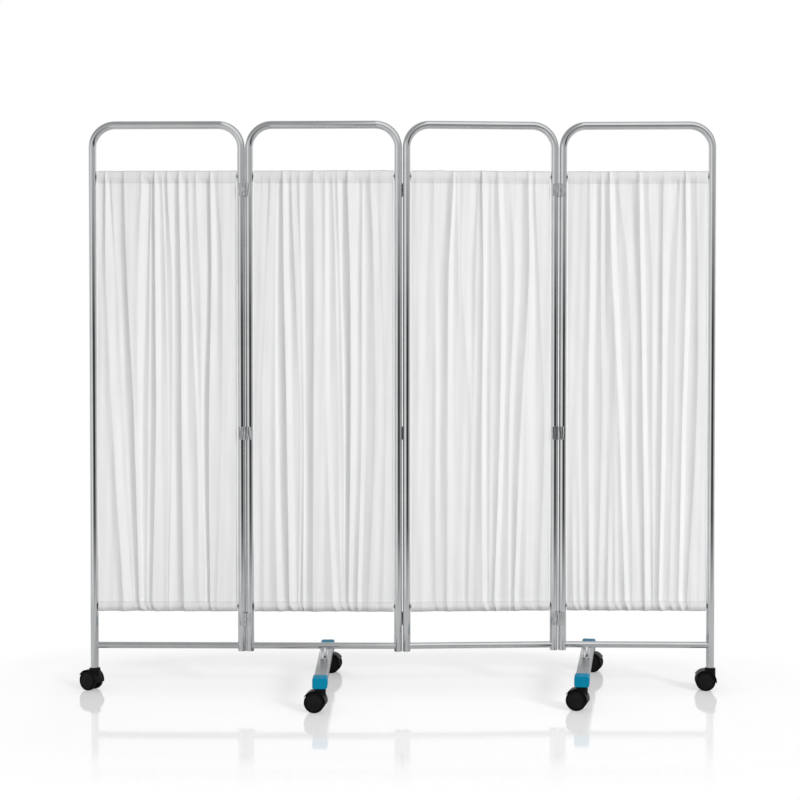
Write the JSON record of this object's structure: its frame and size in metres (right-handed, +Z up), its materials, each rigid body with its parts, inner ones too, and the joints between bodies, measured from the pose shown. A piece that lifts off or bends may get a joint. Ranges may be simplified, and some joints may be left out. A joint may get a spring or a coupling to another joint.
{
  "type": "ward privacy screen on wheels",
  "caption": "Folding ward screen of hinged chromed tube frames with gathered white curtains on rods, cross feet with blue end sleeves, and twin-wheel casters.",
  "frame": {"origin": "on the floor, under the middle of the box round the whole screen", "axes": "+X along the screen from left to right as its front is seen, +Y from its front to its back, +Z up"},
  "size_m": [2.0317, 0.619, 1.8038],
  "materials": {
    "frame_chrome": "bright chrome plate on round tube",
    "steel": "plain drawn steel, satin",
    "foot_steel": "polished box section",
    "curtain_cloth": "white plain weave, matte",
    "blue_plastic": "moulded, semi-gloss cyan blue",
    "black_plastic": "moulded, semi-matte black",
    "wheel_plastic": "moulded, satin near-black, smooth hub face"
  },
  "bodies": {
    "panel_1": {"frame_1": "frame_chrome", "bottom_rail_1": "frame_chrome", "top_rod_1": "steel", "bottom_rod_1": "steel", "curtain_1": "curtain_cloth", "hinge_pin_1_top": "steel", "hinge_pin_1_middle": "steel", "hinge_pin_1_bottom": "steel", "caster_stem_left": "steel"},
    "panel_2": {"frame_2": "frame_chrome", "bottom_rail_2": "frame_chrome", "top_rod_2": "steel", "bottom_rod_2": "steel", "curtain_2": "curtain_cloth", "hinge_pin_2_top": "steel", "hinge_pin_2_middle": "steel", "hinge_pin_2_bottom": "steel", "foot_bar_2": "foot_steel", "foot_cap_2_front": "blue_plastic", "foot_cap_2_rear": "blue_plastic", "caster_stem_2_front": "steel", "caster_stem_2_rear": "steel"},
    "panel_3": {"frame_3": "frame_chrome", "bottom_rail_3": "frame_chrome", "top_rod_3": "steel", "bottom_rod_3": "steel", "curtain_3": "curtain_cloth", "hinge_pin_3_top": "steel", "hinge_pin_3_middle": "steel", "hinge_pin_3_bottom": "steel"},
    "panel_4": {"frame_4": "frame_chrome", "bottom_rail_4": "frame_chrome", "top_rod_4": "steel", "bottom_rod_4": "steel", "curtain_4": "curtain_cloth", "foot_bar_4": "foot_steel", "foot_cap_4_front": "blue_plastic", "foot_cap_4_rear": "blue_plastic", "caster_stem_4_front": "steel", "caster_stem_4_rear": "steel", "caster_stem_right": "steel"},
    "hood_left": {"caster_hood_left": "black_plastic"},
    "hood_2_front": {"caster_hood_2_front": "black_plastic"},
    "hood_2_rear": {"caster_hood_2_rear": "black_plastic"},
    "hood_4_front": {"caster_hood_4_front": "black_plastic"},
    "hood_4_rear": {"caster_hood_4_rear": "black_plastic"},
    "hood_right": {"caster_hood_right": "black_plastic"},
    "wheel_left_near": {"wheel_left_near": "wheel_plastic"},
    "wheel_left_far": {"wheel_left_far": "wheel_plastic"},
    "wheel_2_front_near": {"wheel_2_front_near": "wheel_plastic"},
    "wheel_2_front_far": {"wheel_2_front_far": "wheel_plastic"},
    "wheel_2_rear_near": {"wheel_2_rear_near": "wheel_plastic"},
    "wheel_2_rear_far": {"wheel_2_rear_far": "wheel_plastic"},
    "wheel_4_front_near": {"wheel_4_front_near": "wheel_plastic"},
    "wheel_4_front_far": {"wheel_4_front_far": "wheel_plastic"},
    "wheel_4_rear_near": {"wheel_4_rear_near": "wheel_plastic"},
    "wheel_4_rear_far": {"wheel_4_rear_far": "wheel_plastic"},
    "wheel_right_near": {"wheel_right_near": "wheel_plastic"},
    "wheel_right_far": {"wheel_right_far": "wheel_plastic"}
  },
  "joints": [
    {"name": "fold_1", "type": "hinge", "parent": "panel_2", "child": "panel_1", "pos_m": [-0.48213, -0.02018, 0.9], "axis": [0, 0, 1], "range_deg": [-3, 180]},
    {"name": "fold_2", "type": "hinge", "parent": "panel_2", "child": "panel_3", "pos_m": [0.01427, 0.00183, 0.9], "axis": [0, 0, 1], "range_deg": [-6.5, 174]},
    {"name": "fold_3", "type": "hinge", "parent": "panel_3", "child": "panel_4", "pos_m": [0.51114, -0.00284, 0.9], "axis": [0, 0, -1], "range_deg": [-7, 175]},
    {"name": "swivel_left", "type": "hinge", "parent": "panel_1", "child": "hood_left", "pos_m": [-0.96484, 0.00231, 0.06], "axis": [0, 0, 1], "continuous": true},
    {"name": "swivel_2_front", "type": "hinge", "parent": "panel_2", "child": "hood_2_front", "pos_m": [-0.23105, -0.28416, 0.06], "axis": [0, 0, 1], "continuous": true},
    {"name": "swivel_2_rear", "type": "hinge", "parent": "panel_2", "child": "hood_2_rear", "pos_m": [-0.23681, 0.26581, 0.06], "axis": [0, 0, 1], "continuous": true},
    {"name": "swivel_4_front", "type": "hinge", "parent": "panel_4", "child": "hood_4_front", "pos_m": [0.55265, -0.26093, 0.06], "axis": [0, 0, 1], "continuous": true},
    {"name": "swivel_4_rear", "type": "hinge", "parent": "panel_4", "child": "hood_4_rear", "pos_m": [0.64627, 0.28105, 0.06], "axis": [0, 0, 1], "continuous": true},
    {"name": "swivel_right", "type": "hinge", "parent": "panel_4", "child": "hood_right", "pos_m": [0.99436, 0.0011, 0.06], "axis": [0, 0, 1], "continuous": true},
    {"name": "spin_left_near", "type": "hinge", "parent": "hood_left", "child": "wheel_left_near", "pos_m": [-0.97797, 0.00955, 0.031], "axis": [0.4833, 0.8755, 0], "continuous": true},
    {"name": "spin_left_far", "type": "hinge", "parent": "hood_left", "child": "wheel_left_far", "pos_m": [-0.97797, 0.00955, 0.031], "axis": [0.4833, 0.8755, 0], "continuous": true},
    {"name": "spin_2_front_near", "type": "hinge", "parent": "hood_2_front", "child": "wheel_2_front_near", "pos_m": [-0.24593, -0.28223, 0.031], "axis": [0.1288, 0.9917, 0], "continuous": true},
    {"name": "spin_2_front_far", "type": "hinge", "parent": "hood_2_front", "child": "wheel_2_front_far", "pos_m": [-0.24593, -0.28223, 0.031], "axis": [0.1288, 0.9917, 0], "continuous": true},
    {"name": "spin_2_rear_near", "type": "hinge", "parent": "hood_2_rear", "child": "wheel_2_rear_near", "pos_m": [-0.22201, 0.26336, 0.031], "axis": [-0.1633, -0.9866, 0], "continuous": true},
    {"name": "spin_2_rear_far", "type": "hinge", "parent": "hood_2_rear", "child": "wheel_2_rear_far", "pos_m": [-0.22201, 0.26336, 0.031], "axis": [-0.1633, -0.9866, 0], "continuous": true},
    {"name": "spin_4_front_near", "type": "hinge", "parent": "hood_4_front", "child": "wheel_4_front_near", "pos_m": [0.53837, -0.25634, 0.031], "axis": [0.3057, 0.9521, 0], "continuous": true},
    {"name": "spin_4_front_far", "type": "hinge", "parent": "hood_4_front", "child": "wheel_4_front_far", "pos_m": [0.53837, -0.25634, 0.031], "axis": [0.3057, 0.9521, 0], "continuous": true},
    {"name": "spin_4_rear_near", "type": "hinge", "parent": "hood_4_rear", "child": "wheel_4_rear_near", "pos_m": [0.66038, 0.27597, 0.031], "axis": [-0.3387, -0.9409, 0], "continuous": true},
    {"name": "spin_4_rear_far", "type": "hinge", "parent": "hood_4_rear", "child": "wheel_4_rear_far", "pos_m": [0.66038, 0.27597, 0.031], "axis": [-0.3387, -0.9409, 0], "continuous": true},
    {"name": "spin_right_near", "type": "hinge", "parent": "hood_right", "child": "wheel_right_near", "pos_m": [0.97945, 0.00274, 0.031], "axis": [0.1097, 0.994, 0], "continuous": true},
    {"name": "spin_right_far", "type": "hinge", "parent": "hood_right", "child": "wheel_right_far", "pos_m": [0.97945, 0.00274, 0.031], "axis": [0.1097, 0.994, 0], "continuous": true}
  ]
}
